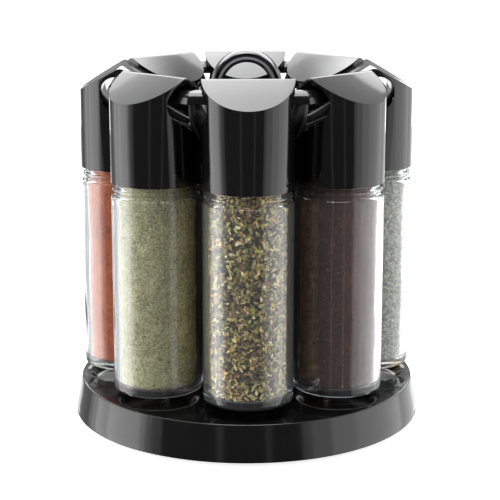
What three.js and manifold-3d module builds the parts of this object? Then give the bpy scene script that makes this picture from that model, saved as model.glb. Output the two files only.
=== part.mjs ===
// Spice carousel: eight glass jars hang by hooked screw lids from an octagonal rail,
// on a dish that turns on a ball race above a fixed foot disc. Millimetres, +Z up.
// The origin is under the centre of the foot disc, on the surface the carousel stands on.
import * as THREE from 'three';
import { mergeVertices } from 'three/addons/utils/BufferGeometryUtils.js';
import Module from 'manifold-3d';

const wasm = await Module();
wasm.setup();

// ---- driving dimensions ----
const JAR_COUNT = 8;
const JAR_CIRCLE_R = 63;      // carousel axis to jar axis
const JAR_R = 22;             // outside of the glass
const LID_R = 22.1;
const GAP = 0.3;              // between pieces that rest on each other

const DISH_R_BOTTOM = 89.9;
const DISH_R_TOP = 86.8;
const SKIRT_Z = 2;            // lower edge of the dish's skirt
const DISH_TOP_Z = 20.2;
const PLATE = 2.2;            // thickness of the dish's top plate
const RECESS_R = 20.9;
const RECESS_FLOOR_R = 16.4;
const RECESS_DEPTH = 4;

const GLASS_Z = 25.8;         // underside of a hanging jar
const GLASS_WALL = 3;
const GLASS_FLOOR = 3;
const SHOULDER_Z = 124.4;
const NECK_R = 19.4;
const NECK_WALL = 2.6;
const NECK_TOP_Z = 140.7;

const LID_Z = 130.2;          // lower rim of a lid
const ROOF_PEAK_Z = 182.6;    // where the two roof slopes would meet
const ROOF_ANGLE = THREE.MathUtils.degToRad(30.2);
const RIDGE_R = 3.5;          // rounding of the ridge
const CAVITY_R = 20.6;        // thread cavity of the lid
const CAVITY_TOP_Z = 143.2;
const SLOT_R = 8.4;           // half width of the hook slot
const SLOT_X = 2;             // centre of its round end, outward of the lid's axis
const SLOT_Z = 169.6;

const RAIL_R = 5.95;          // half-round top of the rail
const RAIL_APOTHEM = 63.2;
const RAIL_Z = 170.9;
const RAIL_LIP = 0.2;
const ARM_THICKNESS = 2.4;

const DRUM_R = 30;
const DRUM_WALL = 2.5;
const HUB_Z = 138;
const HUB_TOP_Z = 152;

const HANDLE_Z = 171.3;       // centre of the ring handle
const HANDLE_R = 18.3;          // outside of the ring at its wider side
const HANDLE_TAPER = 1.6;
const HANDLE_BORE_R = 12.1;
const HANDLE_HALF_DEPTH = 3.6;

const FOOT_DISC_R = 85;
const FOOT_DISC_Z = 1.7;
const FOOT_DISC_TOP_Z = 4.5;
const FOOT_COUNT = 4;
const FOOT_R = 5;
const FOOT_CIRCLE_R = 79.5;
const FIRST_FOOT_DEG = 20;    // from the front, towards +X

const BALL_COUNT = 8;
const BALL_R = 2.5;
const BALL_CIRCLE_R = 27;
const BALL_Z = 7.2;
const TRACK_Z = 9.9;          // upper race, under the dish
const ROD_R = 2;

const DISH_ROUND = 48;        // segments around each kind of turned piece
const ROUND = 32;
const JAR_ROUND = 16;
const LID_ROUND = 24;
const SMALL_ROUND = 12;

// ---- materials ----
const material = (color, roughness, metalness = 0, opacity = 1) => new THREE.MeshStandardMaterial({
  color, roughness, metalness, opacity, transparent: opacity < 1,
});
const glossBlack = material(0x0b0b0c, 0.12);
const blackRubber = material(0x171717, 0.8);
const steel = material(0xb9bbbd, 0.25, 1);
const cagePlastic = material(0xe8e6df, 0.5);
const sifterPlastic = material(0xdfe3e4, 0.4);
const clearGlass = material(0xeef5f4, 0.03, 0, 0.35);
const spiceMaterials = [
  material(0x8f7d52, 0.95),   // mixed dried herbs
  material(0x4a281c, 0.95),   // ground cinnamon
  material(0x7b7a60, 0.95),   // rubbed thyme
  material(0xb98a3a, 0.95),   // curry powder
  material(0x2d241e, 0.95),   // cracked black pepper
  material(0x7a8450, 0.95),   // dried parsley
  material(0xb04a22, 0.95),   // paprika powder
  material(0xa9a27c, 0.95),   // ground white pepper
];

// ---- helpers ----
function welded(geometry) {
  const bare = new THREE.BufferGeometry();
  bare.setAttribute('position', geometry.attributes.position);
  bare.setIndex(geometry.index);
  const merged = mergeVertices(bare, 1e-4);
  const index = merged.index.array;
  const kept = [];
  for (let i = 0; i < index.length; i += 3) {
    const [a, b, c] = index.slice(i, i + 3);
    if (a !== b && b !== c && c !== a) kept.push(a, b, c);
  }
  merged.setIndex(kept);
  return merged;
}

function solid(geometry) {
  const closed = welded(geometry);
  return new wasm.Manifold(new wasm.Mesh({
    numProp: 3,
    vertProperties: new Float32Array(closed.attributes.position.array),
    triVerts: new Uint32Array(closed.index.array),
  }));
}

function geometryOf(manifold) {
  const mesh = manifold.getMesh();
  const geometry = new THREE.BufferGeometry();
  geometry.setAttribute('position', new THREE.BufferAttribute(new Float32Array(mesh.vertProperties), 3));
  geometry.setIndex(new THREE.BufferAttribute(new Uint32Array(mesh.triVerts), 1));
  geometry.computeVertexNormals();
  return geometry;
}

// A solid of revolution about Z from a list of [radius, z], anticlockwise seen with Z up.
function turned(profile, segments = ROUND) {
  const points = [...profile, profile[0]].map(([radius, z]) => new THREE.Vector2(radius, z));
  return solid(new THREE.LatheGeometry(points, segments).rotateX(Math.PI / 2));
}

// A prism from an outline in X and Z, centred on Y = 0.
function prism(outline, width) {
  const shape = outline instanceof THREE.Shape ? outline
    : new THREE.Shape(outline.map(([x, z]) => new THREE.Vector2(x, z)));
  const geometry = new THREE.ExtrudeGeometry(shape, { depth: width, bevelEnabled: false, curveSegments: 6 });
  return solid(geometry.rotateX(Math.PI / 2).translate(0, width / 2, 0));
}

// A quarter-turn fillet: points from angle a to angle b, in degrees, about (radius, z).
function fillet(centreR, centreZ, r, from, to, steps = 3) {
  return Array.from({ length: steps + 1 }, (_, i) => {
    const angle = THREE.MathUtils.degToRad(from + (to - from) * i / steps);
    return [centreR + r * Math.cos(angle), centreZ + r * Math.sin(angle)];
  });
}

const around = (count, place) => Array.from({ length: count }, (_, i) => place(i, 2 * Math.PI * i / count));

// Turns a solid whose +X faces outward so that it faces the given azimuth from the front (-Y).
const facing = (shape, azimuth) => shape.rotate([0, 0, THREE.MathUtils.radToDeg(azimuth) - 90]);

function named(name, shape, look) {
  const mesh = new THREE.Mesh(geometryOf(shape), look);
  mesh.name = name;
  return mesh;
}

// ---- foot disc and feet ----
function footDisc() {
  const rim = FOOT_DISC_TOP_Z + 1.5;
  const hubUnder = 6;
  const hubTop = 9;
  return turned([
    [ROD_R + 0.6, hubUnder], [12, hubUnder], [14, FOOT_DISC_Z], [FOOT_DISC_R, FOOT_DISC_Z],
    [FOOT_DISC_R, rim], [FOOT_DISC_R - 2, rim], [FOOT_DISC_R - 2, FOOT_DISC_TOP_Z],
    [17, FOOT_DISC_TOP_Z], [15, hubTop], [ROD_R + 0.6, hubTop],
  ]);
}

function rubberFoot() {
  const top = FOOT_DISC_Z - GAP;
  return turned([[0, 0], [FOOT_R - 0.4, 0], [FOOT_R, 0.4], [FOOT_R, top], [0, top]], SMALL_ROUND);
}

// ---- ball race ----
function ballCage() {
  const low = BALL_Z - 0.8;
  const high = BALL_Z + 0.8;
  const ring = turned([
    [BALL_CIRCLE_R - 4, low], [BALL_CIRCLE_R + 4, low], [BALL_CIRCLE_R + 4, high], [BALL_CIRCLE_R - 4, high],
  ]);
  const pocketR = BALL_R + GAP;
  const pocket = turned([[0, low - 1], [pocketR, low - 1], [pocketR, high + 1], [0, high + 1]], 8);
  const pockets = around(BALL_COUNT, (i, angle) => facing(pocket.translate([BALL_CIRCLE_R, 0, 0]), angle));
  return ring.subtract(wasm.Manifold.union(pockets));
}

function ball() {
  return solid(new THREE.SphereGeometry(BALL_R, 8, 6));
}

// ---- dish ----
function baseDish() {
  const thickUnder = DISH_TOP_Z - RECESS_DEPTH - PLATE;
  const plateUnder = DISH_TOP_Z - PLATE;
  const body = turned([
    [ROD_R + GAP, TRACK_Z - 0.4], [11, TRACK_Z - 0.4], [11, plateUnder],
    [BALL_CIRCLE_R - 3, plateUnder], [BALL_CIRCLE_R - 3, TRACK_Z], [BALL_CIRCLE_R + 3, TRACK_Z],
    [BALL_CIRCLE_R + 3, plateUnder], [42, plateUnder], [42, thickUnder],
    [DISH_R_TOP - 2.6, thickUnder], [DISH_R_BOTTOM - 2.2, SKIRT_Z], [DISH_R_BOTTOM, SKIRT_Z],
    ...fillet(DISH_R_TOP - 1, DISH_TOP_Z - 1, 1, 0, 90, 2),
    [ROD_R + GAP, DISH_TOP_Z],
  ], DISH_ROUND);
  const floor = DISH_TOP_Z - RECESS_DEPTH;
  const recess = turned([
    [0, floor], [RECESS_FLOOR_R, floor], [RECESS_R, DISH_TOP_Z], [RECESS_R, DISH_TOP_Z + 1], [0, DISH_TOP_Z + 1],
  ], JAR_ROUND);
  const recesses = around(JAR_COUNT, (i, angle) => facing(recess.translate([JAR_CIRCLE_R, 0, 0]), angle));
  return body.subtract(wasm.Manifold.union(recesses));
}

// ---- centre drum, tie rod and its nut ----
function centreDrum() {
  const low = DISH_TOP_Z + GAP;
  const high = HUB_Z + 6;
  return turned([
    [DRUM_R - DRUM_WALL, low], [DRUM_R + 3, low], [DRUM_R + 3, low + 1.6], [DRUM_R + 0.6, low + 3],
    [DRUM_R, HUB_Z - 2], [DRUM_R - 2.2, HUB_Z - 2], [DRUM_R - 2.2, high], [DRUM_R - 4.4, high],
    [DRUM_R - 4.4, HUB_Z - 5], [DRUM_R - DRUM_WALL, HUB_Z - 8],
  ]);
}

function tieRod() {
  return turned([[0, 1], [ROD_R, 1], [ROD_R, HUB_TOP_Z + 4.4], [0, HUB_TOP_Z + 4.4]], SMALL_ROUND);
}

function thrustWasher() {
  return turned([[ROD_R + GAP, 4.9], [6, 4.9], [6, 5.7], [ROD_R + GAP, 5.7]], JAR_ROUND);
}

function lockNut() {
  return turned([[ROD_R + GAP, 1.5], [4, 1.5], [4, 4.6], [ROD_R + GAP, 4.6]], 6);
}

// ---- rail frame: octagonal rail, eight arms and the hub that caps the drum ----
function railSegment() {
  const corner = Math.tan(Math.PI / JAR_COUNT);
  const shape = new THREE.Shape();
  shape.moveTo(RAIL_APOTHEM - RAIL_R, RAIL_Z - RAIL_LIP);
  shape.lineTo(RAIL_APOTHEM + RAIL_R, RAIL_Z - RAIL_LIP);
  shape.absarc(RAIL_APOTHEM, RAIL_Z, RAIL_R, 0, Math.PI, false);
  const long = prism(shape, 2 * corner * (RAIL_APOTHEM + RAIL_R) + 4);
  const reach = 120;
  const lap = 0.05;           // neighbouring segments run into each other by this much at the mitre
  const side = reach * corner + lap;
  const wedge = solid(new THREE.ExtrudeGeometry(new THREE.Shape([
    new THREE.Vector2(0, -lap), new THREE.Vector2(reach, -side), new THREE.Vector2(reach, side),
    new THREE.Vector2(0, lap),
  ]), { depth: 40, bevelEnabled: false }).translate(0, 0, RAIL_Z - 20));
  return long.intersect(wedge);
}

function railFrame() {
  const segment = railSegment();
  const arm = prism([
    [26, HUB_Z], [44, HUB_Z + 2], [58, HUB_Z + 11], [69.4, RAIL_Z - 9], [71, RAIL_Z + 1],
    [63.5, RAIL_Z + 1], [44, HUB_TOP_Z + 7], [DRUM_R, HUB_TOP_Z], [26, HUB_TOP_Z],
  ], ARM_THICKNESS);
  const hub = turned([
    [ROD_R + GAP, HUB_TOP_Z - 3.4], [DRUM_R - 1.9, HUB_TOP_Z - 3.4], [DRUM_R - 1.9, HUB_Z - 1.6],
    [DRUM_R + 0.5, HUB_Z - 1.6], [DRUM_R + 0.5, HUB_TOP_Z - 1.5], ...fillet(DRUM_R - 1, HUB_TOP_Z - 1.5, 1.5, 0, 90, 2),
    [ROD_R + GAP, HUB_TOP_Z],
  ]);
  const half = Math.PI / JAR_COUNT;
  const bore = turned([[0, 100], [DRUM_R - 1.9, 100], [DRUM_R - 1.9, HUB_TOP_Z - 3.4], [0, HUB_TOP_Z - 3.4]]);
  const arms = around(JAR_COUNT, (i, angle) => facing(arm, angle + half).subtract(bore));
  const segments = around(JAR_COUNT, (i, angle) => facing(segment, angle));
  return wasm.Manifold.union([hub, ...arms, ...segments]);
}

// ---- ring handle: a tapered band with a lipped bore, on a flanged stem screwed on the tie rod ----
function ringHandle() {
  const depth = HANDLE_HALF_DEPTH;
  const bore = HANDLE_BORE_R;
  const ring = turned([
    [bore, -depth - 0.8], [bore + 0.8, -depth - 0.8], [bore + 2.1, -depth], [HANDLE_R, -depth],
    [HANDLE_R - HANDLE_TAPER, depth], [bore + 2.1, depth], [bore + 0.8, depth + 0.8], [bore, depth + 0.8],
  ]).rotate([90, 0, 0]).translate([0, 0, HANDLE_Z]);
  const base = HUB_TOP_Z + GAP;
  const stem = turned([
    [0, base], [7.5, base], [7.5, base + 0.8], [5.2, base + 2.2], [4.8, base + 4.5], [2.6, base + 7], [0, base + 7],
  ], SMALL_ROUND);
  const socketR = ROD_R + GAP;
  const socket = turned([[0, base - 1], [socketR, base - 1], [socketR, base + 4.4], [0, base + 4.4]], SMALL_ROUND);
  return ring.add(stem).subtract(socket);
}

// ---- jar: lid, glass, sifter and spice, each about its own axis with +X outward ----
function roofOutline() {
  const reach = LID_R + 1;
  const eaves = ROOF_PEAK_Z - reach * Math.tan(ROOF_ANGLE);
  const ridgeZ = ROOF_PEAK_Z - RIDGE_R / Math.cos(ROOF_ANGLE);
  const shape = new THREE.Shape();
  shape.moveTo(-reach, LID_Z);
  shape.lineTo(reach, LID_Z);
  shape.lineTo(reach, eaves);
  shape.absarc(0, ridgeZ, RIDGE_R, Math.PI / 2 - ROOF_ANGLE, Math.PI / 2 + ROOF_ANGLE, false);
  shape.lineTo(-reach, eaves);
  return shape;
}

function slotOutline() {
  const along = new THREE.Vector2(-Math.cos(ROOF_ANGLE), -Math.sin(ROOF_ANGLE));
  const reach = along.clone().multiplyScalar(45);
  const centre = new THREE.Vector2(SLOT_X, SLOT_Z);
  const low = centre.clone().add(new THREE.Vector2(-along.y, along.x).multiplyScalar(SLOT_R));
  const high = centre.clone().sub(new THREE.Vector2(-along.y, along.x).multiplyScalar(SLOT_R));
  const shape = new THREE.Shape();
  shape.moveTo(low.x + reach.x, low.y + reach.y);
  shape.lineTo(low.x, low.y);
  shape.absarc(centre.x, centre.y, SLOT_R, ROOF_ANGLE - Math.PI / 2, ROOF_ANGLE + Math.PI / 2, false);
  shape.lineTo(high.x + reach.x, high.y + reach.y);
  return shape;
}

function lid() {
  const width = 2 * LID_R + 4;
  const barrel = turned([[0, LID_Z], [LID_R, LID_Z], [LID_R, ROOF_PEAK_Z], [0, ROOF_PEAK_Z]], LID_ROUND);
  const cavity = turned([
    [0, LID_Z - 1], [CAVITY_R, LID_Z - 1], [CAVITY_R, CAVITY_TOP_Z], [0, CAVITY_TOP_Z],
  ], JAR_ROUND);
  return barrel.intersect(prism(roofOutline(), width)).subtract(prism(slotOutline(), width)).subtract(cavity);
}

function glassJar() {
  const inner = JAR_R - GLASS_WALL;
  const innerNeck = NECK_R - NECK_WALL;
  const floor = GLASS_Z + GLASS_FLOOR;
  return turned([
    [0, GLASS_Z], [JAR_R - 2, GLASS_Z], [JAR_R, GLASS_Z + 2], [JAR_R, SHOULDER_Z - 0.8],
    [JAR_R - 1.5, SHOULDER_Z + 1], [JAR_R - 0.7, SHOULDER_Z + 2.8], [NECK_R, SHOULDER_Z + 4.4],
    [NECK_R, NECK_TOP_Z], [innerNeck, NECK_TOP_Z], [innerNeck, SHOULDER_Z + 3], [inner, SHOULDER_Z - 1],
    [inner, floor + 2.5], [inner - 2.5, floor], [0, floor],
  ], JAR_ROUND);
}

function sifter() {
  const plugR = NECK_R - NECK_WALL - GAP;
  const seat = NECK_TOP_Z + GAP;
  const cup = turned([
    [0, seat - 4], [plugR, seat - 4], [plugR, seat], [NECK_R - 0.4, seat], [NECK_R - 0.4, seat + 1.4],
    [plugR - 1.4, seat + 1.4], [plugR - 1.4, seat - 2.6], [0, seat - 2.6],
  ], JAR_ROUND);
  const hole = turned([[0, seat - 5], [1.6, seat - 5], [1.6, seat - 2], [0, seat - 2]], 6);
  const holes = around(3, (i, angle) => facing(hole.translate([8, 0, 0]), angle));
  return cup.subtract(wasm.Manifold.union(holes));
}

function spiceFill() {
  const low = GLASS_Z + GLASS_FLOOR + GAP;
  const r = JAR_R - GLASS_WALL - GAP;
  const neck = NECK_R - NECK_WALL - GAP;
  const top = NECK_TOP_Z - 6;
  return turned([
    [0, low], [r - 2.5, low], [r, low + 2.5], [r, SHOULDER_Z - 1.2], [neck, SHOULDER_Z + 3], [neck, top], [0, top],
  ], JAR_ROUND);
}

// ---- assembly ----
const carousel = new THREE.Group();
carousel.add(
  named('foot_disc', footDisc(), glossBlack),
  named('base_dish', baseDish(), glossBlack),
  named('centre_drum', centreDrum(), glossBlack),
  named('rail_frame', railFrame(), glossBlack),
  named('ring_handle', ringHandle(), glossBlack),
  named('tie_rod', tieRod(), steel),
  named('thrust_washer', thrustWasher(), steel),
  named('lock_nut', lockNut(), steel),
  named('ball_cage', ballCage(), cagePlastic),
);

around(FOOT_COUNT, (i, angle) => {
  const foot = named(`rubber_foot_${i + 1}`, rubberFoot(), blackRubber);
  const azimuth = angle + THREE.MathUtils.degToRad(FIRST_FOOT_DEG);
  foot.position.set(FOOT_CIRCLE_R * Math.sin(azimuth), -FOOT_CIRCLE_R * Math.cos(azimuth), 0);
  carousel.add(foot);
});

around(BALL_COUNT, (i, angle) => {
  const bead = named(`ball_${i + 1}`, ball(), steel);
  bead.position.set(BALL_CIRCLE_R * Math.sin(angle), -BALL_CIRCLE_R * Math.cos(angle), BALL_Z);
  carousel.add(bead);
});

around(JAR_COUNT, (i, angle) => {
  const jar = new THREE.Group();
  jar.add(
    named(`lid_${i + 1}`, lid(), glossBlack),
    named(`glass_jar_${i + 1}`, glassJar(), clearGlass),
    named(`sifter_${i + 1}`, sifter(), sifterPlastic),
    named(`spice_${i + 1}`, spiceFill(), spiceMaterials[i]),
  );
  jar.position.set(JAR_CIRCLE_R * Math.sin(angle), -JAR_CIRCLE_R * Math.cos(angle), 0);
  jar.rotation.z = angle - Math.PI / 2;
  carousel.add(jar);
});

export default carousel;
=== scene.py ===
"""Looks for the spice carousel: a black turning rack with eight hanging glass spice jars.

Geometry is written in millimetres and turns into metres in add(). Materials, lights and the
camera are in metres. Azimuths are in degrees from the front (-Y) towards +X, as the jars are
numbered, and a piece that is set on a circle is modelled with its outer side towards +X.
"""
import math
import random

import bmesh
import bpy
from mathutils import Matrix, Vector, noise


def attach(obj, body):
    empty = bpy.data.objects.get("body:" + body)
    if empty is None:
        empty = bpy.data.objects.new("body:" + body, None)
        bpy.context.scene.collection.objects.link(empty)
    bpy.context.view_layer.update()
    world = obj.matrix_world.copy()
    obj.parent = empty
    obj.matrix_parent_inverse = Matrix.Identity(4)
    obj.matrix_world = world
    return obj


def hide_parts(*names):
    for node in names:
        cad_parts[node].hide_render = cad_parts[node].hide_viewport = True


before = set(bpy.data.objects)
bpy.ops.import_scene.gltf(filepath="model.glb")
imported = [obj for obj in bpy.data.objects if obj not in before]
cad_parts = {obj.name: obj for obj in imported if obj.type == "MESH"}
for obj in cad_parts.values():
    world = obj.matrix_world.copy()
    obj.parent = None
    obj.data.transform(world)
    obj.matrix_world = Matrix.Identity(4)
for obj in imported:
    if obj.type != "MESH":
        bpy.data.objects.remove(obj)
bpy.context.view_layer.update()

MM = 0.001

# ---- sizes in millimetres, as the frame has them: R is a radius, Z a height above the floor ----
JARS = 8
STEP = 360 / JARS  # degrees from one jar to the next
CIRCLE = 63.0
JAR_R = 22.0
LID_R = 22.1
DISH_BOTTOM_R = 89.85
DISH_TOP_R = 86.8
SKIRT_Z = 2.0
DISH_Z = 20.2
PLATE = 2.2
RECESS_R = 20.9
RECESS_FLOOR_R = 15.4
RECESS_DEPTH = 4.0
GLASS_Z = 25.8
GLASS_WALL = 3.0
GLASS_FLOOR = 3.0
SHOULDER_Z = 124.4
NECK_R = 19.4
NECK_WALL = 2.6
NECK_TOP_Z = 140.7
LID_Z = 130.2
ROOF_Z = 182.6
ROOF = math.radians(30.2)
ROOF_DEGREES = math.degrees(ROOF)
RIDGE_R = 3.5
CAVITY_R = 20.6
CAVITY_Z = 143.2
SLOT_R = 8.4
SLOT_X = 2.0
SLOT_Z = 169.6
SLOT_REACH = 45
RAIL_R = 5.95
RAIL_APOTHEM = 63.2
RAIL_Z = 170.9
RAIL_LIP = 0.2
DRUM_R = 30.0
HUB_Z = 138.0
HUB_TOP = 152.0
HANDLE_Z = 171.3
HANDLE_R = 18.3
HANDLE_TAPER = 1.6
HANDLE_BORE = 12.1
HANDLE_DEPTH = 3.6
# Radii in metres of the paler band painted on the finger ring's lip as a painted reflection.
PAINTED_BAND_INNER = (13.5 * MM, 13.8 * MM)
PAINTED_BAND_OUTER = (15.0 * MM, 14.7 * MM)
BORE_R = 2.3
ROD_R = 2.0
ROD_BOTTOM_Z = 1.0
ROD_THREAD_Z = (12, 140)
ROD_THREAD_END_Z = 154.2
ROD_TOP_Z = 154.4
BALL_CIRCLE = 27.0
BALL_R = 2.48
BALL_Z = 7.2
POCKET_R = 2.8
TRACK_Z = 9.9
FEET = 4
FOOT_CIRCLE = 79.5
FOOT_AZIMUTH = 20

# ---- the spice in the jars, in millimetres ----
FILL_GAP = 0.3
FILL_Z = GLASS_Z + GLASS_FLOOR + 0.25
FILL_TOP_Z = NECK_TOP_Z - 6
FILL_CORNER = 2.4
FLAKE_Z = GLASS_Z + GLASS_FLOOR + 0.4
FLAKE_TOP_Z = NECK_TOP_Z - 7
FLAKE_MAX_R = 18.94


# ---------------------------------------------------------------- mesh helpers
def place(azimuth, radius=CIRCLE):
    """The matrix that turns a piece to an azimuth and sets it on a circle about the axis."""
    a = math.radians(azimuth)
    turn = Matrix.Rotation(a - math.pi / 2, 4, "Z")
    return Matrix.Translation((radius * math.sin(a), -radius * math.cos(a), 0)) @ turn


def new_mesh(name, verts, faces):
    mesh = bpy.data.meshes.new(name)
    mesh.from_pydata([tuple(v) for v in verts], [], faces)
    mesh.validate()
    return mesh


def lathe(profile, segments, closed=True):
    """A surface of revolution about Z. Points on the axis become one vertex each."""
    verts, rows = [], []
    for r, z in profile:
        if r < 1e-6:
            rows.append([len(verts)] * segments)
            verts.append((0, 0, z))
        else:
            rows.append(list(range(len(verts), len(verts) + segments)))
            for k in range(segments):
                turn = 2 * math.pi * k / segments
                verts.append((r * math.cos(turn), r * math.sin(turn), z))
    pairs = list(zip(rows, rows[1:]))
    if closed and rows[0][0] != rows[0][-1]:
        pairs.append((rows[-1], rows[0]))
    faces = []
    for low, high in pairs:
        for k in range(segments):
            n = (k + 1) % segments
            face = [low[k], low[n], high[n], high[k]]
            kept = [v for i, v in enumerate(face) if v not in face[:i]]
            if len(kept) > 2:
                faces.append(kept)
    return verts, faces


def turned(name, profile, segments=128, closed=True):
    """A lathe shape as a mesh."""
    return new_mesh(name, *lathe(profile, segments, closed))


def arc(cx, cz, r, start, end, steps=5):
    """Points of an arc in the profile plane, angles in degrees."""
    angles = [math.radians(start + (end - start) * i / steps) for i in range(steps + 1)]
    return [(cx + r * math.cos(a), cz + r * math.sin(a)) for a in angles]


def prism(outline, width):
    """A closed prism from an outline of (x, z), centred on Y = 0."""
    n, half = len(outline), width / 2
    verts = [(x, -half, z) for x, z in outline] + [(x, half, z) for x, z in outline]
    faces = [list(range(n)), list(range(2 * n - 1, n - 1, -1))]
    faces += [[i, i + n, (i + 1) % n + n, (i + 1) % n] for i in range(n)]
    return verts, faces


def outward(mesh):
    """Turns every face's normal outward."""
    bm = bmesh.new()
    bm.from_mesh(mesh)
    bmesh.ops.recalc_face_normals(bm, faces=bm.faces)
    bm.to_mesh(mesh)
    bm.free()
    return mesh


def cut(mesh, tool, operation="DIFFERENCE"):
    """The first mesh cut by the second, or what both share, as a new mesh."""
    a = bpy.data.objects.new("work", outward(mesh))
    b = bpy.data.objects.new("tool", outward(tool))
    for o in (a, b):
        bpy.context.scene.collection.objects.link(o)
    m = a.modifiers.new("cut", "BOOLEAN")
    m.operation, m.object, m.solver = operation, b, "EXACT"
    made = bpy.data.meshes.new_from_object(a.evaluated_get(bpy.context.evaluated_depsgraph_get()))
    for o in (a, b):
        bpy.data.objects.remove(o)
    return made


def soften(mesh, width, segments=3, angle=25):
    """Rounds every edge sharper than the angle by a small radius."""
    bm = bmesh.new()
    bm.from_mesh(mesh)
    bmesh.ops.remove_doubles(bm, verts=bm.verts, dist=0.002)
    bmesh.ops.recalc_face_normals(bm, faces=bm.faces)
    edges = [e for e in bm.edges
             if len(e.link_faces) == 2 and e.calc_face_angle(0) > math.radians(angle)]
    bmesh.ops.bevel(bm, geom=edges, offset=width, offset_type="OFFSET", segments=segments,
                    profile=0.5, affect="EDGES", clamp_overlap=True, harden_normals=False)
    bm.to_mesh(mesh)
    bm.free()
    return mesh


def link(name, data):
    """A new object in the scene."""
    o = bpy.data.objects.new(name, data)
    bpy.context.scene.collection.objects.link(o)
    return o


def add(name, mesh, material, body, nodes, matrix=Matrix.Identity(4), sharp=28):
    """Puts a finished mesh in the scene: scaled to metres, shaded, riding on its body."""
    mesh.transform(Matrix.Scale(MM, 4) @ matrix)
    outward(mesh)
    mesh.shade_smooth()
    mesh.set_sharp_from_angle(angle=math.radians(sharp))
    mesh.materials.clear()
    mesh.materials.append(material)
    mesh.name = name
    o = link(name, mesh)
    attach(o, body)
    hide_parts(*nodes)
    return o


# ---------------------------------------------------------------- materials
class Nodes:
    """A node tree under construction. A value is a number, a colour or another node's output."""

    def __init__(self, owner):
        owner.use_nodes = True
        self.tree = owner.node_tree
        self.tree.nodes.clear()

    def node(self, kind):
        return self.tree.nodes.new("ShaderNode" + kind)

    def feed(self, socket, value):
        if isinstance(value, bpy.types.NodeSocket):
            self.tree.links.new(value, socket)
        else:
            socket.default_value = (*value, 1) if isinstance(value, tuple) else value

    def span(self, value, low, high, to_low=0.0, to_high=1.0, kind="LINEAR"):
        """The value's place between low and high, on the range to_low to to_high."""
        n = self.node("MapRange")
        n.interpolation_type = kind
        for i, v in enumerate((value, low, high, to_low, to_high)):
            self.feed(n.inputs[i], v)
        return n.outputs[0]

    def math(self, kind, a, b):
        n = self.node("Math")
        n.operation = kind
        self.feed(n.inputs[0], a)
        self.feed(n.inputs[1], b)
        return n.outputs[0]

    def axes(self, vector):
        n = self.node("SeparateXYZ")
        self.feed(n.inputs[0], vector)
        return n.outputs


class Look(Nodes):
    """A material: a Principled shader, an output and object coordinates."""

    SOCKETS = {"color": "Base Color", "rough": "Roughness", "ior": "IOR", "metal": "Metallic",
               "specular": "Specular IOR Level", "transmission": "Transmission Weight",
               "normal": "Normal", "subsurface": "Subsurface Weight", "radius": "Subsurface Scale",
               "glow": "Emission Strength", "glow_color": "Emission Color"}

    def __init__(self, name):
        self.material = bpy.data.materials.new(name)
        super().__init__(self.material)
        out = self.node("OutputMaterial")
        self.shader = self.node("BsdfPrincipled")
        self.feed(out.inputs["Surface"], self.shader.outputs[0])
        self.coords = self.node("TexCoord").outputs["Object"]

    def drawn_out(self, up):
        """Object coordinates for a pattern that is drawn out along Z."""
        m = self.node("Mapping")
        m.inputs["Scale"].default_value = (1, 1, up)
        self.feed(m.inputs["Vector"], self.coords)
        return m.outputs["Vector"]

    def noise(self, scale, detail=3, rough=0.55, vector=None):
        n = self.node("TexNoise")
        n.inputs["Scale"].default_value = scale
        n.inputs["Detail"].default_value = detail
        n.inputs["Roughness"].default_value = rough
        self.feed(n.inputs["Vector"], vector or self.coords)
        return n.outputs["Fac"]

    def cells(self, scale, feature, output):
        n = self.node("TexVoronoi")
        n.feature = feature
        n.inputs["Scale"].default_value = scale
        self.feed(n.inputs["Vector"], self.coords)
        return n.outputs[output]

    def cell_tones(self, scale):
        """One random grey for each cell."""
        return self.math("ADD", self.cells(scale, "F1", "Color"), 0.0)

    def from_ring_axis(self):
        """Distance in metres from the finger ring's axis."""
        p = self.axes(self.coords)
        up = self.math("SUBTRACT", p["Z"], HANDLE_Z * MM)
        square = self.math("ADD", self.math("MULTIPLY", p["X"], p["X"]),
                           self.math("MULTIPLY", up, up))
        return self.math("POWER", square, 0.5)

    def ramp(self, value, *stops):
        n = self.node("ValToRGB")
        points = n.color_ramp.elements
        while len(points) < len(stops):
            points.new(0.5)
        for p, (position, color) in zip(points, stops):
            p.position = position
            p.color = (*color, 1)
        self.feed(n.inputs[0], value)
        return n.outputs["Color"]

    def blend(self, factor, a, b, kind="MIX"):
        n = self.node("Mix")
        n.data_type = "RGBA"
        n.blend_type = kind
        self.feed(n.inputs["Factor"], factor)
        self.feed(n.inputs[6], a)
        self.feed(n.inputs[7], b)
        return n.outputs[2]

    def bump(self, height, distance, strength=1.0, before=None):
        n = self.node("Bump")
        n.inputs["Distance"].default_value = distance
        n.inputs["Strength"].default_value = strength
        self.feed(n.inputs["Height"], height)
        if before is not None:
            self.feed(n.inputs["Normal"], before)
        return n.outputs["Normal"]

    def set(self, **values):
        for key, value in values.items():
            self.feed(self.shader.inputs[self.SOCKETS[key]], value)
        return self.material


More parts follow.
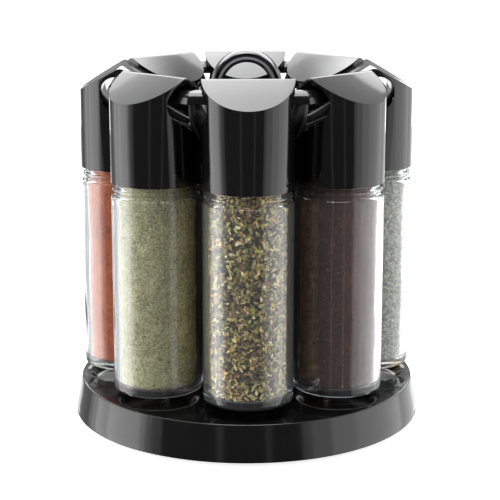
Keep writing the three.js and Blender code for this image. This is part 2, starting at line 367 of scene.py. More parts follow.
def gloss_black(name, wear=1.0, rough=0.075, band=False):
    """Polished moulded plastic: nearly black, a faint swell, fine polish marks, a little dust.
    With band, the finger ring's lip is painted paler: a painted reflection."""
    k = Look(name)
    swell = k.noise(38, 2)
    marks = k.noise(900, 4, 0.7, k.drawn_out(0.12))
    dust = k.span(k.noise(1500, 2, 0.5), 0.66, 0.74)
    patches = k.noise(70, 4)
    color = k.blend(patches, (0.0022, 0.0022, 0.0026), (0.0048, 0.0048, 0.0054))
    color = k.blend(k.math("MULTIPLY", dust, 0.35 * wear), color, (0.03, 0.03, 0.032))
    polish = k.math("ADD", k.span(patches, 0.3, 0.75, rough, rough + 0.05 * wear),
                    k.span(marks, 0.5, 0.85, 0, 0.06 * wear))
    polish = k.math("ADD", polish, k.math("MULTIPLY", dust, 0.12))
    normal = k.bump(swell, 0.0006, 0.22)
    normal = k.bump(marks, 0.00001, 0.25, normal)
    if band:
        radius = k.from_ring_axis()
        # A paler grey band painted round the ring's bore: a painted reflection, not wear.
        painted_reflection_band = k.math("MULTIPLY", k.span(radius, *PAINTED_BAND_INNER), k.span(radius, *PAINTED_BAND_OUTER))
        color = k.blend(painted_reflection_band, color, (0.2, 0.2, 0.21))
        polish = k.math("ADD", polish, k.math("MULTIPLY", painted_reflection_band, 0.25))
    return k.set(color=color, rough=polish, normal=normal, ior=1.52)


def rubber(name):
    """Matt black rubber with a fine grain."""
    k = Look(name)
    grain = k.noise(2600, 3)
    color = k.blend(k.noise(300, 3), (0.011, 0.011, 0.011), (0.028, 0.027, 0.026))
    return k.set(color=color, rough=k.span(grain, 0.3, 0.7, 0.68, 0.92),
                 normal=k.bump(grain, 0.0001, 0.5))


def zinc_steel(name):
    """Plated steel with faint marks along its length."""
    k = Look(name)
    brushed = k.noise(700, 4, 0.7, k.drawn_out(0.1))
    color = k.blend(k.noise(220, 4), (0.42, 0.43, 0.45), (0.64, 0.64, 0.63))
    return k.set(color=color, metal=1.0, rough=k.span(brushed, 0.3, 0.7, 0.18, 0.36),
                 normal=k.bump(brushed, 0.00002, 0.4))


def natural_plastic(name, low, high, rough=0.4):
    """Unpigmented plastic that light enters a little."""
    k = Look(name)
    cloud = k.noise(160, 4)
    fine = k.noise(1800, 3)
    return k.set(color=k.blend(cloud, low, high), normal=k.bump(fine, 0.00003, 0.4),
                 rough=k.span(fine, 0.3, 0.7, rough, rough + 0.15), subsurface=0.15, radius=0.002)


def jar_glass(name):
    """Clear pressed glass with the slow ripple of a moulded wall and a faint cool tint."""
    k = Look(name)
    ripple = k.noise(70, 2, 0.5, k.drawn_out(0.25))
    seeds = k.noise(420, 2)
    color = k.blend(k.span(seeds, 0.3, 0.7), (0.9, 0.95, 0.975), (0.94, 0.975, 0.99))
    return k.set(color=color, rough=k.span(seeds, 0.35, 0.75, 0.0, 0.025), ior=1.5,
                 normal=k.bump(ripple, 0.0012, 0.11), transmission=0.975)


def powder(name, dark, mid, light, speck, specks=0.12, grain=1100):
    """A ground spice: grains of a few tones, slow drifts of shade and scattered specks."""
    k = Look(name)
    fine = k.noise(grain, 5, 0.75)
    drift = k.noise(55, 4, 0.6)
    bits = k.cell_tones(grain * 0.75)
    color = k.ramp(k.math("ADD", k.math("MULTIPLY", fine, 0.75), k.math("MULTIPLY", drift, 0.25)),
                   (0.4, dark), (0.5, mid), (0.6, light))
    chosen = k.span(bits, 1 - specks, 1 - specks * 0.7)
    color = k.blend(k.math("MULTIPLY", chosen, 0.6), color, speck)
    normal = k.bump(fine, 0.0005, 0.7)
    normal = k.bump(drift, 0.0012, 0.3, normal)
    return k.set(color=color, rough=k.span(fine, 0.3, 0.7, 0.82, 0.98), normal=normal,
                 specular=0.1)


def herb(name, deep, mid):
    """Leaf flakes: each flake's own tone, with paler mottling and darker streaks."""
    k = Look(name)
    own = k.node("Attribute")
    own.attribute_type, own.attribute_name = "GEOMETRY", "tint"
    mottle = k.noise(900, 4, 0.7)
    streak = k.noise(1400, 3, 0.6, k.drawn_out(0.35))
    color = k.blend(k.span(mottle, 0.35, 0.7, 0, 0.45), own.outputs["Color"], mid)
    color = k.blend(k.span(streak, 0.5, 0.75, 0, 0.5), color, deep, "MULTIPLY")
    return k.set(color=color, rough=k.span(mottle, 0.3, 0.7, 0.7, 0.95),
                 normal=k.bump(streak, 0.0003, 0.6), specular=0.3)


def shaded_bed(name, deep, mid, light):
    """What shows between the flakes: smaller fragments painted in the shade of the larger ones,
    darker in the gaps between them as painted shade.
    """
    k = Look(name)
    bits = k.cell_tones(700)
    edges = k.cells(700, "DISTANCE_TO_EDGE", "Distance")
    color = k.ramp(bits, (0.2, deep), (0.55, mid), (0.85, light))
    # The gaps between the fragments are painted darker: painted shade.
    color = k.blend(k.span(edges, 0.0, 0.12), deep, color)
    return k.set(color=color, rough=0.95, normal=k.bump(edges, 0.0008, 0.8), specular=0.2)


black = gloss_black("lid_black")
dish_black = gloss_black("dish_black", 1.4, 0.07)
frame_black = gloss_black("frame_black", 1.0, 0.12)
arm_black = gloss_black("arm_black", 1.2, 0.26)
ring_black = gloss_black("ring_black", 1.0, 0.09, band=True)
drum_black = gloss_black("drum_black", 1.2, 0.13)
foot_black = gloss_black("foot_black", 1.2, 0.2)
feet = rubber("foot_rubber")
steel = zinc_steel("zinc_steel")
cage_white = natural_plastic("cage_plastic", (0.66, 0.64, 0.58), (0.78, 0.76, 0.7))
sifter_white = natural_plastic("sifter_plastic", (0.66, 0.69, 0.7), (0.8, 0.82, 0.82), 0.3)
glass = jar_glass("clear_glass")

# The spice in each jar, in the jars' order. Spices in powders are ground, those in herbs are leaf.
SPICES = ("dried_herbs", "cinnamon", "thyme", "curry", "black_pepper", "parsley", "paprika",
          "white_pepper")
powders = {
    "cinnamon": powder("cinnamon", (0.028, 0.007, 0.003), (0.058, 0.015, 0.007),
                       (0.12, 0.036, 0.018), (0.22, 0.085, 0.045)),
    "curry": powder("curry", (0.42, 0.2, 0.02), (0.6, 0.33, 0.05), (0.72, 0.45, 0.1),
                    (0.3, 0.12, 0.03)),
    "black_pepper": powder("black_pepper", (0.015, 0.011, 0.009), (0.05, 0.038, 0.03),
                           (0.22, 0.17, 0.12), (0.5, 0.42, 0.3), specks=0.3, grain=480),
    "paprika": powder("paprika", (0.19, 0.024, 0.001), (0.36, 0.056, 0.001), (0.52, 0.12, 0.004),
                      (0.2, 0.02, 0.006), specks=0.15),
    "white_pepper": powder("white_pepper", (0.16, 0.145, 0.058), (0.37, 0.345, 0.17),
                           (0.6, 0.57, 0.35), (0.13, 0.1, 0.045), specks=0.18),
}
herbs = {
    "dried_herbs": (herb("dried_herbs", (0.1, 0.065, 0.025), (0.3, 0.2, 0.08)),
                    shaded_bed("dried_herbs_bed", (0.022, 0.015, 0.007), (0.12, 0.09, 0.035),
                               (0.33, 0.26, 0.11))),
    "thyme": (herb("thyme", (0.4, 0.38, 0.28), (0.48, 0.48, 0.38)),
              shaded_bed("thyme_bed", (0.07, 0.07, 0.05), (0.2, 0.2, 0.14), (0.38, 0.37, 0.28))),
    "parsley": (herb("parsley", (0.2, 0.26, 0.1), (0.32, 0.4, 0.14)),
                shaded_bed("parsley_bed", (0.03, 0.045, 0.012), (0.12, 0.16, 0.05),
                           (0.26, 0.32, 0.1))),
}
# The tones that a leaf spice's flakes are chosen from.
PALETTES = {
    "dried_herbs": [
        (0.9, 0.64, 0.25), (0.72, 0.58, 0.17), (0.5, 0.48, 0.12), (0.22, 0.22, 0.05),
        (0.42, 0.15, 0.045), (0.7, 0.42, 0.14), (0.95, 0.82, 0.46), (0.06, 0.03, 0.01),
        (0.34, 0.34, 0.09), (0.95, 0.74, 0.33)],
    "thyme": [
        (0.47, 0.45, 0.33), (0.37, 0.36, 0.24), (0.57, 0.53, 0.38), (0.27, 0.26, 0.17),
        (0.42, 0.35, 0.22)],
    "parsley": [
        (0.26, 0.36, 0.1), (0.36, 0.44, 0.15), (0.18, 0.27, 0.07), (0.5, 0.53, 0.24),
        (0.4, 0.34, 0.14)],
}
# How many flakes, and the range of their length and breadth in millimetres.
LEAF_FLAKES = (5200, (1.6, 4.2), (0.8, 1.8))
FINE_FLAKES = (7000, (0.9, 2.2), (0.45, 0.9))
FLAKES = {"dried_herbs": LEAF_FLAKES, "thyme": FINE_FLAKES, "parsley": LEAF_FLAKES}


# ---------------------------------------------------------------- jars
def roof_outline():
    """What a lid keeps: everything under its two slopes and their rounded ridge."""
    reach = LID_R + 1
    eaves = ROOF_Z - reach * math.tan(ROOF)
    ridge = ROOF_Z - RIDGE_R / math.cos(ROOF)
    top = arc(0, ridge, RIDGE_R, 90 - ROOF_DEGREES, 90 + ROOF_DEGREES, 12)
    return [(-reach, LID_Z), (reach, LID_Z), (reach, eaves)] + top + [(-reach, eaves)]


def slot_outline():
    """The hook slot: round at the rail, open towards the axis along the line of lifting off."""
    ax, az = -math.cos(ROOF), -math.sin(ROOF)
    mouth_x, mouth_z = ax * SLOT_REACH, az * SLOT_REACH
    low = (SLOT_X - az * SLOT_R + mouth_x, SLOT_Z + ax * SLOT_R + mouth_z)
    high = (SLOT_X + az * SLOT_R + mouth_x, SLOT_Z - ax * SLOT_R + mouth_z)
    end = arc(SLOT_X, SLOT_Z, SLOT_R, ROOF_DEGREES - 90, ROOF_DEGREES + 90, 28)
    return [low] + end + [high]


def lid_mesh():
    """A turned barrel under a gable roof, with the hook slot through it and a cavity below."""
    width = 2 * LID_R + 6
    barrel = turned("barrel", [(0, LID_Z), (LID_R, LID_Z), (LID_R, ROOF_Z), (0, ROOF_Z)], 112)
    shape = cut(barrel, new_mesh("roof", *prism(roof_outline(), width)), "INTERSECT")
    shape = cut(shape, new_mesh("slot", *prism(slot_outline(), width)))
    cavity = turned("cavity", [(0, LID_Z - 1), (CAVITY_R, LID_Z - 1), (CAVITY_R, CAVITY_Z),
                               (0, CAVITY_Z)], 80)
    return soften(cut(shape, cavity), 0.8, 3, 20)


def glass_profile():
    """Up the outside from the raised bottom, over the neck, down the inside to the floor."""
    inner = JAR_R - GLASS_WALL
    neck = NECK_R - NECK_WALL
    floor = GLASS_Z + GLASS_FLOOR
    outside = [(0, GLASS_Z + 1.1), (8, GLASS_Z + 1.0), (14, GLASS_Z + 0.65),
               (17.4, GLASS_Z + 0.15), (18.6, GLASS_Z), (19.6, GLASS_Z)]
    outside += arc(JAR_R - 2.2, GLASS_Z + 2.2, 2.2, -80, 0, 8)
    heights = [GLASS_Z + 6 + (SHOULDER_Z - GLASS_Z - 8.4) * i / 24 for i in range(25)]
    outside += [(JAR_R, z) for z in heights]
    outside += arc(JAR_R - 1.9, SHOULDER_Z - 2.0, 1.9, 10, 78, 6)
    outside += [(20.1, SHOULDER_Z + 0.6), (20.15, SHOULDER_Z + 1.2)]
    outside += arc(20.2, SHOULDER_Z + 2.5, 1.15, -55, 80, 8)
    outside += [(NECK_R + 0.2, SHOULDER_Z + 4.3), (NECK_R, SHOULDER_Z + 5.2),
                (NECK_R, NECK_TOP_Z - 0.8)]
    outside += arc(NECK_R - 0.8, NECK_TOP_Z - 0.8, 0.8, 0, 90, 3)
    inside = arc(neck + 0.7, NECK_TOP_Z - 0.7, 0.7, 90, 180, 3)
    inside += [(neck, SHOULDER_Z + 4.5), (neck + 0.4, SHOULDER_Z + 2.6),
               (inner - 1.1, SHOULDER_Z + 0.1), (inner - 0.3, SHOULDER_Z - 1.5),
               (inner, SHOULDER_Z - 3.4)]
    inside += [(inner, z) for z in reversed(heights) if floor + 3 < z < SHOULDER_Z - 4]
    inside += [(inner, floor + 2.6)] + arc(inner - 2.4, floor + 2.4, 2.4, 0, -90, 8)
    inside += [(10, floor - 0.15), (0, floor - 0.3)]
    return outside + inside


def glass_mesh():
    """A pressed jar: thick floor, grooved shoulder with a bead, and a wall that ripples inside."""
    inner = JAR_R - GLASS_WALL
    low, high = GLASS_Z + GLASS_FLOOR + 3, SHOULDER_Z - 2
    across, upward, shift = 0.06, 0.035, Vector((3.7, 0, 0))
    verts, faces = lathe(glass_profile(), 128, closed=False)
    rippled = []
    for x, y, z in verts:
        r = math.hypot(x, y)
        if low < z < high and r > 1:
            wave = noise.noise(Vector((x * across, y * across, z * upward)) + shift)
            if r < inner + 0.5:
                moved = r + 0.32 * max(0.0, wave + 0.15)
            else:
                moved = r - 0.05 * max(0.0, wave)
            x, y = x * moved / r, y * moved / r
        rippled.append((x, y, z))
    return new_mesh("glass", rippled, faces)


def fill_radius(z):
    """Outer radius of the spice at a height, just inside the glass."""
    inner = JAR_R - GLASS_WALL - FILL_GAP
    neck = NECK_R - NECK_WALL - FILL_GAP
    if z < FILL_Z + FILL_CORNER:
        h = max(0.0, z - FILL_Z)
        return inner - FILL_CORNER + math.sqrt(max(0.0, FILL_CORNER ** 2 - (FILL_CORNER - h) ** 2))
    if z > SHOULDER_Z - 3.4:
        t = min(1.0, (z - SHOULDER_Z + 3.4) / 6.6)
        return inner + (neck - inner) * t * t * (3 - 2 * t)
    return inner


def fill_mesh(lumps, seed, shrink=0.0):
    """The body of spice, with a lightly uneven skin that stays inside the glass."""
    steps, straight = 70, 2.6
    heights = [FILL_Z + rise for rise in (0, 0.2, 0.5, 1.0, 1.6, 2.3)]
    heights += [FILL_Z + straight + (FILL_TOP_Z - FILL_Z - straight) * i / steps
                for i in range(steps + 1)]
    profile = [(0, FILL_Z)] + [(fill_radius(z) - shrink, z) for z in heights] + [(0, FILL_TOP_Z)]
    verts, faces = lathe(profile, 96, closed=False)
    moved = []
    for x, y, z in verts:
        r = math.hypot(x, y)
        if r > 1:
            d = lumps * (noise.noise(Vector((x, y, z)) * 0.35 + Vector((seed, 0, 0))) - 0.6)
            x, y = x * (r + min(0.0, d)) / r, y * (r + min(0.0, d)) / r
        moved.append((x, y, z))
    return new_mesh("fill", moved, faces)


def flake_mesh(seed, count, long, broad, palette):
    """Curled leaf fragments pressed against the glass, each with a tone of its own."""
    rng = random.Random(seed)
    tilt = 0.42
    verts, faces, tones = [], [], []
    for _ in range(count):
        z = rng.uniform(FLAKE_Z, FLAKE_TOP_Z)
        turn = rng.uniform(0, 2 * math.pi)
        deep = abs(rng.gauss(0, 0.45))
        radial = Vector((math.cos(turn), math.sin(turn), 0))
        lean = Vector((rng.gauss(0, tilt), rng.gauss(0, tilt), rng.gauss(0, tilt)))
        face = (radial + lean).normalized()
        along = face.orthogonal().normalized()
        along = (Matrix.Rotation(rng.uniform(0, math.pi), 4, face) @ along).normalized()
        across = face.cross(along)
        a = rng.uniform(*long) / 2
        b = min(a * 0.95, rng.uniform(*broad) / 2)
        curl = rng.uniform(-0.35, 0.5) * b
        centre = radial * (fill_radius(z) - deep) + Vector((0, 0, z))
        outline = [(-a, 0), (-a * rng.uniform(0.2, 0.6), b * rng.uniform(0.7, 1.1)),
                   (a * rng.uniform(0.2, 0.7), b), (a, b * rng.uniform(-0.4, 0.4)),
                   (a * rng.uniform(0.1, 0.6), -b * rng.uniform(0.7, 1.1)),
                   (-a * rng.uniform(0.3, 0.8), -b * rng.uniform(0.5, 1.0))]
        points = [centre + face * abs(curl)]
        points += [centre + along * u + across * v - face * curl * (v / b) ** 2
                   for u, v in outline]
        first = len(verts)
        for p in points:
            height = max(FLAKE_Z, min(FLAKE_TOP_Z, p.z))
            limit = min(fill_radius(height) + 0.22, FLAKE_MAX_R)
            r = math.hypot(p.x, p.y)
            if r > limit:
                p.x, p.y = p.x * limit / r, p.y * limit / r
            p.z = max(FLAKE_Z - 0.1, min(FLAKE_TOP_Z + 1, p.z))
            verts.append(p)
        sides = len(outline)
        faces += [[first, first + 1 + i, first + 1 + (i + 1) % sides] for i in range(sides)]
        tone = rng.choice(palette)
        shade = rng.uniform(0.35, 1.4)
        tones += [tuple(c * shade for c in tone) + (1.0,)] * len(points)
    mesh = new_mesh("flakes", verts, faces)
    colors = mesh.color_attributes.new("tint", "FLOAT_COLOR", "POINT")
    for point, tone in zip(colors.data, tones):
        point.color = tone
    return mesh


lid_shape = lid_mesh()
glass_shape = glass_mesh()
for n, spice in enumerate(SPICES, 1):
    at = place(STEP * (n - 1))
    body, node, seed = f"jar_{n}", f"spice_{n}", n * 7.3
    add(f"cap_{n}", lid_shape.copy(), black, f"lid_{n}", [f"lid_{n}"], at)
    jar = add(f"jar_{n}", glass_shape.copy(), glass, body, [f"glass_jar_{n}"], at,
              sharp=40)
    jar.visible_shadow = jar.visible_diffuse = False
    if spice in powders:
        add(f"fill_{n}", fill_mesh(0.5, seed), powders[spice], body, [node], at, sharp=60)
    else:
        leaf, bed = herbs[spice]
        add(f"fill_{n}", fill_mesh(1.2, seed, 0.55), bed, body, [node], at, sharp=60)
        add(f"flakes_{n}", flake_mesh(n, *FLAKES[spice], PALETTES[spice]), leaf, body, [node],
            at, sharp=60)


# ---------------------------------------------------------------- dish and drum
def dish_height(x, y):
    """Height of the dish's upper face: flat, with a dished recess under every jar."""
    for i in range(JARS):
        a = 2 * math.pi * i / JARS
        d = math.hypot(x - CIRCLE * math.sin(a), y + CIRCLE * math.cos(a))
        if d < RECESS_R:
            t = min(1.0, (RECESS_R - d) / (RECESS_R - RECESS_FLOOR_R))
            return DISH_Z - RECESS_DEPTH * t * t * (3 - 2 * t)
    return DISH_Z


def dish_mesh():
    """The turned dish, with close rings on its upper face that take the shape of the recesses."""
    segments, ring_step, recess_from = 384, 0.75, 37
    edge_r = 0.8
    plate_under = DISH_Z - PLATE
    thick_under = DISH_Z - RECESS_DEPTH - PLATE
    boss_z = TRACK_Z - 0.4
    under = [(BORE_R, DISH_Z), (BORE_R, boss_z), (11, boss_z), (11, plate_under),
             (BALL_CIRCLE - 3, plate_under), (BALL_CIRCLE - 3, TRACK_Z),
             (BALL_CIRCLE + 3, TRACK_Z), (BALL_CIRCLE + 3, plate_under), (42, plate_under),
             (42, thick_under), (DISH_TOP_R - 2.8, thick_under),
             (DISH_BOTTOM_R - 2.2, SKIRT_Z + 0.2), (DISH_BOTTOM_R - 1.9, SKIRT_Z)]
    skirt = [(DISH_BOTTOM_R - 0.35, SKIRT_Z)]
    skirt += arc(DISH_BOTTOM_R - 0.5, SKIRT_Z + 0.5, 0.5, -60, 8, 3)
    skirt += [(DISH_BOTTOM_R + (DISH_TOP_R - DISH_BOTTOM_R) * t,
               SKIRT_Z + 0.6 + (DISH_Z - SKIRT_Z - 1.4) * t) for t in (0.25, 0.5, 0.75)]
    skirt += arc(DISH_TOP_R - edge_r, DISH_Z - edge_r, edge_r, 8, 90, 5)
    rings = []
    r = DISH_TOP_R - edge_r - 0.5
    while r > recess_from + 1:
        rings.append(r)
        r -= ring_step
    rings += [36, 33, 25, 12]
    verts, faces = lathe(under + skirt + [(r, DISH_Z) for r in rings], segments)
    start = len(under + skirt) * segments
    verts = [(x, y, dish_height(x, y)) if i >= start and math.hypot(x, y) > recess_from
             else (x, y, z) for i, (x, y, z) in enumerate(verts)]
    return new_mesh("dish", verts, faces)


def drum_mesh():
    """The hollow post: a bead and a cove at its foot, and a stepped top that holds the hub."""
    low, high = DISH_Z + 0.3, HUB_Z + 6
    profile = [(DRUM_R - 2.5, low)]
    profile += arc(DRUM_R + 2.6, low + 0.4, 0.4, -90, 0, 3)
    profile += arc(DRUM_R + 2.6, low + 1.2, 0.4, 0, 90, 3)
    profile += [(DRUM_R + 1.6, low + 1.8), (DRUM_R + 0.7, low + 2.6), (DRUM_R + 0.4, low + 4),
                (DRUM_R, 60), (DRUM_R, 110), (DRUM_R, HUB_Z - 2.3), (DRUM_R - 0.3, HUB_Z - 2),
                (DRUM_R - 2.2, HUB_Z - 2), (DRUM_R - 2.2, high), (DRUM_R - 4.4, high),
                (DRUM_R - 4.4, HUB_Z - 5), (DRUM_R - 2.5, HUB_Z - 8)]
    return turned("drum", profile)


add("dish", dish_mesh(), dish_black, "carousel", ["base_dish"], sharp=35)
add("drum", drum_mesh(), drum_black, "carousel", ["centre_drum"])


# ---------------------------------------------------------------- rail, arms, hub and handle
def rail_mesh():
    """A half-round rail swept round an octagon, mitred at the corners."""
    corner = 1 / math.cos(math.pi / JARS)
    low = RAIL_Z - RAIL_LIP
    section = [(-RAIL_R + 0.25, low), (RAIL_R - 0.25, low), (RAIL_R, low + 0.2)]
    section += arc(0, RAIL_Z, RAIL_R, 0, 180, 28) + [(-RAIL_R, low + 0.2)]
    verts, faces, count = [], [], len(section)
    for i in range(JARS):
        a = math.pi / JARS + 2 * math.pi * i / JARS
        verts += [((RAIL_APOTHEM + d) * corner * math.sin(a),
                   -(RAIL_APOTHEM + d) * corner * math.cos(a), z) for d, z in section]
        here, there = i * count, (i + 1) % JARS * count
        faces += [[here + k, there + k, there + (k + 1) % count, here + (k + 1) % count]
                  for k in range(count)]
    return new_mesh("rail", verts, faces)


def arm_mesh():
    """A thin upright web from the hub out and up to the rail."""
    outline = [(29.2, HUB_Z + 0.2), (36, HUB_Z + 0.9), (44, HUB_Z + 2.6), (51, HUB_Z + 6),
               (58, HUB_Z + 11), (64, HUB_Z + 17), (69.2, RAIL_Z - 9.5), (71, RAIL_Z + 1),
               (63.5, RAIL_Z + 1), (53, HUB_TOP + 11), (44, HUB_TOP + 6.2), (36, HUB_TOP + 2.4),
               (29.2, HUB_TOP - 0.3)]
    return soften(new_mesh("arm", *prism(outline, 2.4)), 0.15, 2, 30)


def hub_mesh():
    """The cap over the drum, with a shallow groove turned in its top."""
    rim, under, step = DRUM_R - 1.9, HUB_TOP - 3.4, HUB_Z - 1.6
    profile = [(BORE_R, under), (rim, under), (rim, step), (DRUM_R + 0.3, step),
               (DRUM_R + 0.5, HUB_Z - 1.4), (DRUM_R + 0.5, HUB_TOP - 1.8)]
    profile += arc(DRUM_R - 1.2, HUB_TOP - 1.7, 1.7, 0, 90, 6)
    profile += [(20, HUB_TOP), (19.6, HUB_TOP - 0.35), (18.8, HUB_TOP - 0.35), (18.4, HUB_TOP),
                (10, HUB_TOP), (BORE_R, HUB_TOP)]
    return turned("hub", profile)


def ring_mesh():
    """The finger ring: a tapered band, wider towards the back, with a raised lip round its bore."""
    deep, bore = HANDLE_DEPTH, HANDLE_BORE
    half = [(bore + 0.1, deep + 0.72), (bore + 0.35, deep + 0.8), (bore + 0.75, deep + 0.8),
            (bore + 1.0, deep + 0.7), (bore + 2.0, deep + 0.06), (bore + 2.3, deep)]
    outer = HANDLE_R - HANDLE_TAPER
    profile = half + [(outer - 0.45, deep), (outer - 0.1, deep - 0.12),
                      (outer + 0.08, deep - 0.45)]
    profile += [(HANDLE_R - 0.1, -deep + 0.45), (HANDLE_R - 0.15, -deep + 0.12),
                (HANDLE_R - 0.5, -deep)]
    profile += [(r, -z) for r, z in reversed(half)] + [(bore, -deep - 0.4), (bore, deep + 0.4)]
    mesh = turned("ring", profile)
    mesh.transform(Matrix.Translation((0, 0, HANDLE_Z)) @ Matrix.Rotation(math.pi / 2, 4, "X"))
    return mesh


def stem_mesh():
    """The ring's foot: a disc on the hub that narrows to a waist and ends in a dome."""
    base = HUB_TOP + 0.3
    profile = [(BORE_R, base), (7.2, base), (7.5, base + 0.3), (7.5, base + 0.7),
               (7.2, base + 1.0)]
    profile += arc(7.4, base + 3.4, 2.3, -100, -180, 6)
    profile += [(4.9, base + 4.5), (4.0, base + 5.6), (2.4, base + 6.6), (0, base + 6.8),
                (0, base + 4.4), (BORE_R, base + 4.4)]
    return turned("stem", profile, 64)


add("rail", rail_mesh(), frame_black, "carousel", ["rail_frame"], sharp=20)
add("hub", hub_mesh(), frame_black, "carousel", ["rail_frame"])
for i in range(JARS):
    add(f"arm_{i + 1}", arm_mesh(), arm_black, "carousel", ["rail_frame"],
        place(STEP * (i + 0.5), 0))
add("finger_ring", ring_mesh(), ring_black, "carousel", ["ring_handle"])
add("handle_stem", stem_mesh(), frame_black, "carousel", ["ring_handle"])


# ---------------------------------------------------------------- bearing, rod and feet
def foot_disc_mesh():
    """The still disc inside the skirt: a sunk plate between a rim and a raised middle."""
    top, rim, groove = 4.5, 6.0, 4.0
    profile = [(2.6, 6.0), (12, 6.0), (13.8, 1.9), (14.2, 1.7), (84.6, 1.7), (85, 2.1),
               (85, rim - 0.4), (84.6, rim), (83.4, rim), (83, rim - 0.4), (82.8, top),
               (60, top), (59.6, groove), (56.4, groove), (56, top), (17, top), (15, 9), (2.6, 9)]
    return turned("foot_disc", profile)


def foot_pad_mesh():
    """A rubber foot with a rounded edge, hollow under its middle."""
    profile = [(0, 0.25), (3.2, 0.25), (3.5, 0.0), (4.5, 0.0)] + arc(4.5, 0.5, 0.5, -90, 0, 4)
    return turned("pad", profile + [(5, 1.2), (4.8, 1.4), (0, 1.4)], 48, closed=False)


def ball_mesh():
    """A ball at the height of the race, on the axis."""
    steps = 20
    angles = [math.pi * k / steps for k in range(1, steps)]
    middle = [(BALL_R * math.sin(a), BALL_Z - BALL_R * math.cos(a)) for a in angles]
    profile = [(0.0, BALL_Z - BALL_R)] + middle + [(0.0, BALL_Z + BALL_R)]
    return turned("ball", profile, 40, closed=False)


def rod_mesh():
    """The tie rod, with a groove for each turn of thread at both ends."""
    turns, z = [], ROD_BOTTOM_Z
    while z < ROD_THREAD_END_Z:
        threaded = z < ROD_THREAD_Z[0] or z > ROD_THREAD_Z[1]
        turns += [(ROD_R - (0.14 if threaded else 0.0), z), (ROD_R, z + 0.35)]
        z += 0.7 if threaded else 4.0
    profile = [(0, ROD_BOTTOM_Z)] + turns + [(1.6, ROD_TOP_Z), (0, ROD_TOP_Z)]
    return turned("rod", profile, 32, closed=False)


add("foot_disc_skin", foot_disc_mesh(), foot_black, "foot_plate", ["foot_disc"])
for i in range(FEET):
    add(f"foot_pad_{i + 1}", foot_pad_mesh(), feet, "foot_plate", [f"rubber_foot_{i + 1}"],
        place(FOOT_AZIMUTH + 90 * i, FOOT_CIRCLE))

low, high = BALL_Z - 0.8, BALL_Z + 0.8
cage = turned("cage", [(23, low), (31, low), (31, high), (23, high)], 96)
for i in range(JARS):
    at = place(STEP * i, BALL_CIRCLE)
    pocket = turned("pocket", [(0, low - 1), (POCKET_R, low - 1), (POCKET_R, high + 1),
                               (0, high + 1)], 32)
    pocket.transform(at)
    cage = cut(cage, pocket)
    add(f"bead_{i + 1}", ball_mesh(), steel, "ball_race", [f"ball_{i + 1}"], at)
add("cage", soften(cage, 0.15, 2), cage_white, "ball_race", ["ball_cage"])

add("rod", rod_mesh(), steel, "carousel", ["tie_rod"])
washer = turned("washer", [(BORE_R, 4.9), (6, 4.9), (6, 5.7), (BORE_R, 5.7)], 64)
add("washer", soften(washer, 0.12, 2), steel, "carousel", ["thrust_washer"])
nut = turned("nut", [(BORE_R, 1.5), (4, 1.5), (4, 4.6), (BORE_R, 4.6)], 6)
add("hex_nut", soften(nut, 0.2, 3), steel, "carousel", ["lock_nut"])

for n in range(1, JARS + 1):
    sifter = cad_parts[f"sifter_{n}"]
    sifter.data.materials.clear()
    sifter.data.materials.append(sifter_white)


# ---------------------------------------------------------------- floor and light
def rectangle(name, corners, material):
    """A flat sheet that isn't part of the object. It faces up if its corners run
    counterclockwise as seen from above."""
    mesh = new_mesh(name, [(x, y, 0) for x, y in corners], [[0, 1, 2, 3]])
    mesh.materials.append(material)
    o = link(name, mesh)
    return o


def floor_look():
    """Near white and slightly bright by itself, with a faint cloudiness."""
    k = Look("floor")
    grain = k.noise(9, 4)
    color = k.blend(grain, (0.86, 0.86, 0.86), (0.9, 0.9, 0.9))
    return k.set(color=color, rough=k.span(grain, 0.3, 0.7, 0.55, 0.7), glow_color=color,
                 glow=0.95)


def ceiling_look():
    """One large soft ceiling box: strongest over the middle, fading to both sides, more to the
    right. The two outer parts light the lids' roofs that face left and right."""
    k = Look("ceiling")
    where = k.axes(k.coords)
    x, y = where["X"], where["Y"]
    side = k.span(x, -0.05, 0.05, 2.65, 1.45)
    middle = k.math("SUBTRACT", k.span(y, 0.08, 0.32, 8.4, 10.5), k.span(y, 0.36, 0.6, 0, 5.5))
    middle = k.math("MULTIPLY", middle, k.span(x, -0.3, 0.3, 1.27, 0.73))
    outer = k.span(k.math("ABSOLUTE", x, 0.0), 0.12, 0.27)
    level = k.math("ADD", k.math("MULTIPLY", side, outer),
                   k.math("MULTIPLY", middle, k.span(outer, 0, 1, 1, 0)))
    return k.set(color=(0, 0, 0), rough=1.0, glow_color=(1, 1, 1), glow=level)


def softbox(name, azimuth, elevation, distance, width, height, radiance):
    """A rectangular lamp in metres that faces the middle of the carousel and isn't seen itself."""
    light = bpy.data.lights.new(name, "AREA")
    light.shape = "RECTANGLE"
    light.size, light.size_y = width, height
    light.energy = radiance * math.pi * width * height
    o = link(name, light)
    a, e = math.radians(azimuth), math.radians(elevation)
    away = Vector((math.sin(a) * math.cos(e), -math.cos(a) * math.cos(e), math.sin(e)))
    o.location = LAMP_AIM + away * distance
    o.rotation_mode = "QUATERNION"
    o.rotation_quaternion = (-away).to_track_quat("-Z", "Y")
    o.visible_camera = False
    return o


def studio():
    """A white sweep behind and a dim room in front; the lens itself always looks on white, and
    glass shows a little more of the sweep than a reflection does."""
    world = bpy.data.worlds.new("studio")
    k = Nodes(world)
    back = k.node("Background")
    path = k.node("LightPath").outputs
    across = k.axes(k.node("TexCoord").outputs["Generated"])["Y"]
    sweep = k.span(path["Is Transmission Ray"], 0.0, 1.0, 0.4, 0.5)
    room = k.span(across, 0.0, 0.5, 0.15, sweep, "SMOOTHSTEP")
    k.feed(back.inputs["Color"], (1, 1, 1))
    k.feed(back.inputs["Strength"], k.math("MAXIMUM", path["Is Camera Ray"], room))
    k.feed(k.node("OutputWorld").inputs["Surface"], back.outputs[0])
    return world


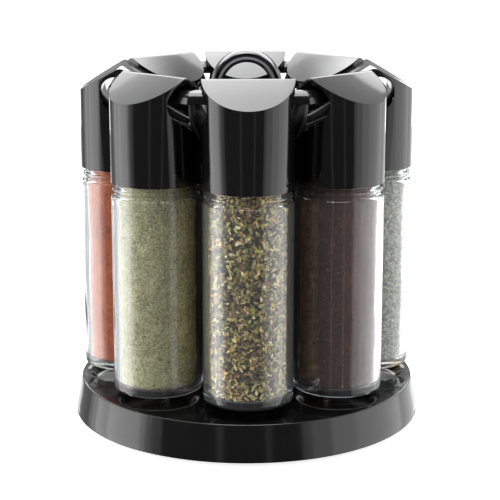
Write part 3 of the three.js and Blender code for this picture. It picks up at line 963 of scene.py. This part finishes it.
# Tall walls all round: azimuth and half the width as an angle in degrees, and radiance. Where
# they overlap they add up, which makes the stepped strips on the lids and jars.
SIDE_WALLS = (
    (-90, 35, 0.55), (-91, 29, 0.6), (-90.5, 23.5, 1.2), (-85.5, 14.5, 1.2),
    (63, 29, 0.65), (121, 29, 1.1), (66, 26, 0.5), (86, 32, 0.65), (96, 24, 0.4),
    (-17, 2, 0.3), (13, 2, 0.25))
WALL_DISTANCE, WALL_GAP, WALL_HEIGHT = 0.85, 0.004, 1.1

# Walls behind: name, azimuth, elevation, width, height and radiance.
BACK_WALLS = (
    ("back_low", 180, -14, 1.5, 0.44, 1.1), ("back_left", 203, -2, 0.46, 0.2, 3.4),
    ("back_right", 157, -2, 0.46, 0.2, 3.4), ("back_high", 180, 30, 1.5, 0.62, 3.4))
BACK_DISTANCE = 1.3
CEILING_Z = 0.77
LAMP_AIM = Vector((0, 0, 0.1))

floor = rectangle("floor", ((-6, -6), (6, -6), (6, 6), (-6, 6)), floor_look())
floor.visible_glossy = floor.visible_diffuse = False
floor.visible_transmission = floor.visible_shadow = False

for i, (azimuth, half_angle, radiance) in enumerate(SIDE_WALLS):
    distance = WALL_DISTANCE + WALL_GAP * i
    width = 2 * distance * math.tan(math.radians(half_angle))
    softbox(f"side_{i + 1}", azimuth, 0, distance, width, WALL_HEIGHT, radiance)
for name, azimuth, elevation, width, height, radiance in BACK_WALLS:
    wall = softbox(name, azimuth, elevation, BACK_DISTANCE, width, height, radiance)
    wall.visible_diffuse = False
key = softbox("key", azimuth=-82, elevation=18, distance=1.1, width=0.8, height=0.9, radiance=2.6)
key.visible_glossy = key.visible_transmission = False

ceiling = rectangle("ceiling", ((-0.6, -0.3), (-0.6, 0.74), (0.6, 0.74), (0.6, -0.3)),
                    ceiling_look())
ceiling.location.z = CEILING_Z
ceiling.visible_camera = False
bpy.context.scene.world = studio()

# ---------------------------------------------------------------- camera
CAMERA_DISTANCE = 0.7613
CAMERA_HEIGHT = 0.2663
CAMERA_AZIMUTH = math.radians(-0.76)
CAMERA_DOWN = 12.0

bpy.context.scene.view_settings.view_transform = "Standard"
camera_data = bpy.data.cameras.new("camera")
camera = link("camera", camera_data)
bpy.context.scene.camera = camera
camera.location = (CAMERA_DISTANCE * math.sin(CAMERA_AZIMUTH),
                   -CAMERA_DISTANCE * math.cos(CAMERA_AZIMUTH), CAMERA_HEIGHT)
camera.rotation_euler = (math.radians(90 - CAMERA_DOWN), 0, CAMERA_AZIMUTH)
camera_data.lens = 107.95
camera_data.sensor_width = 36
camera_data.shift_x = 0.0069
camera_data.shift_y = -0.0734
camera_data.clip_start, camera_data.clip_end = 0.01, 50

bpy.context.view_layer.update()
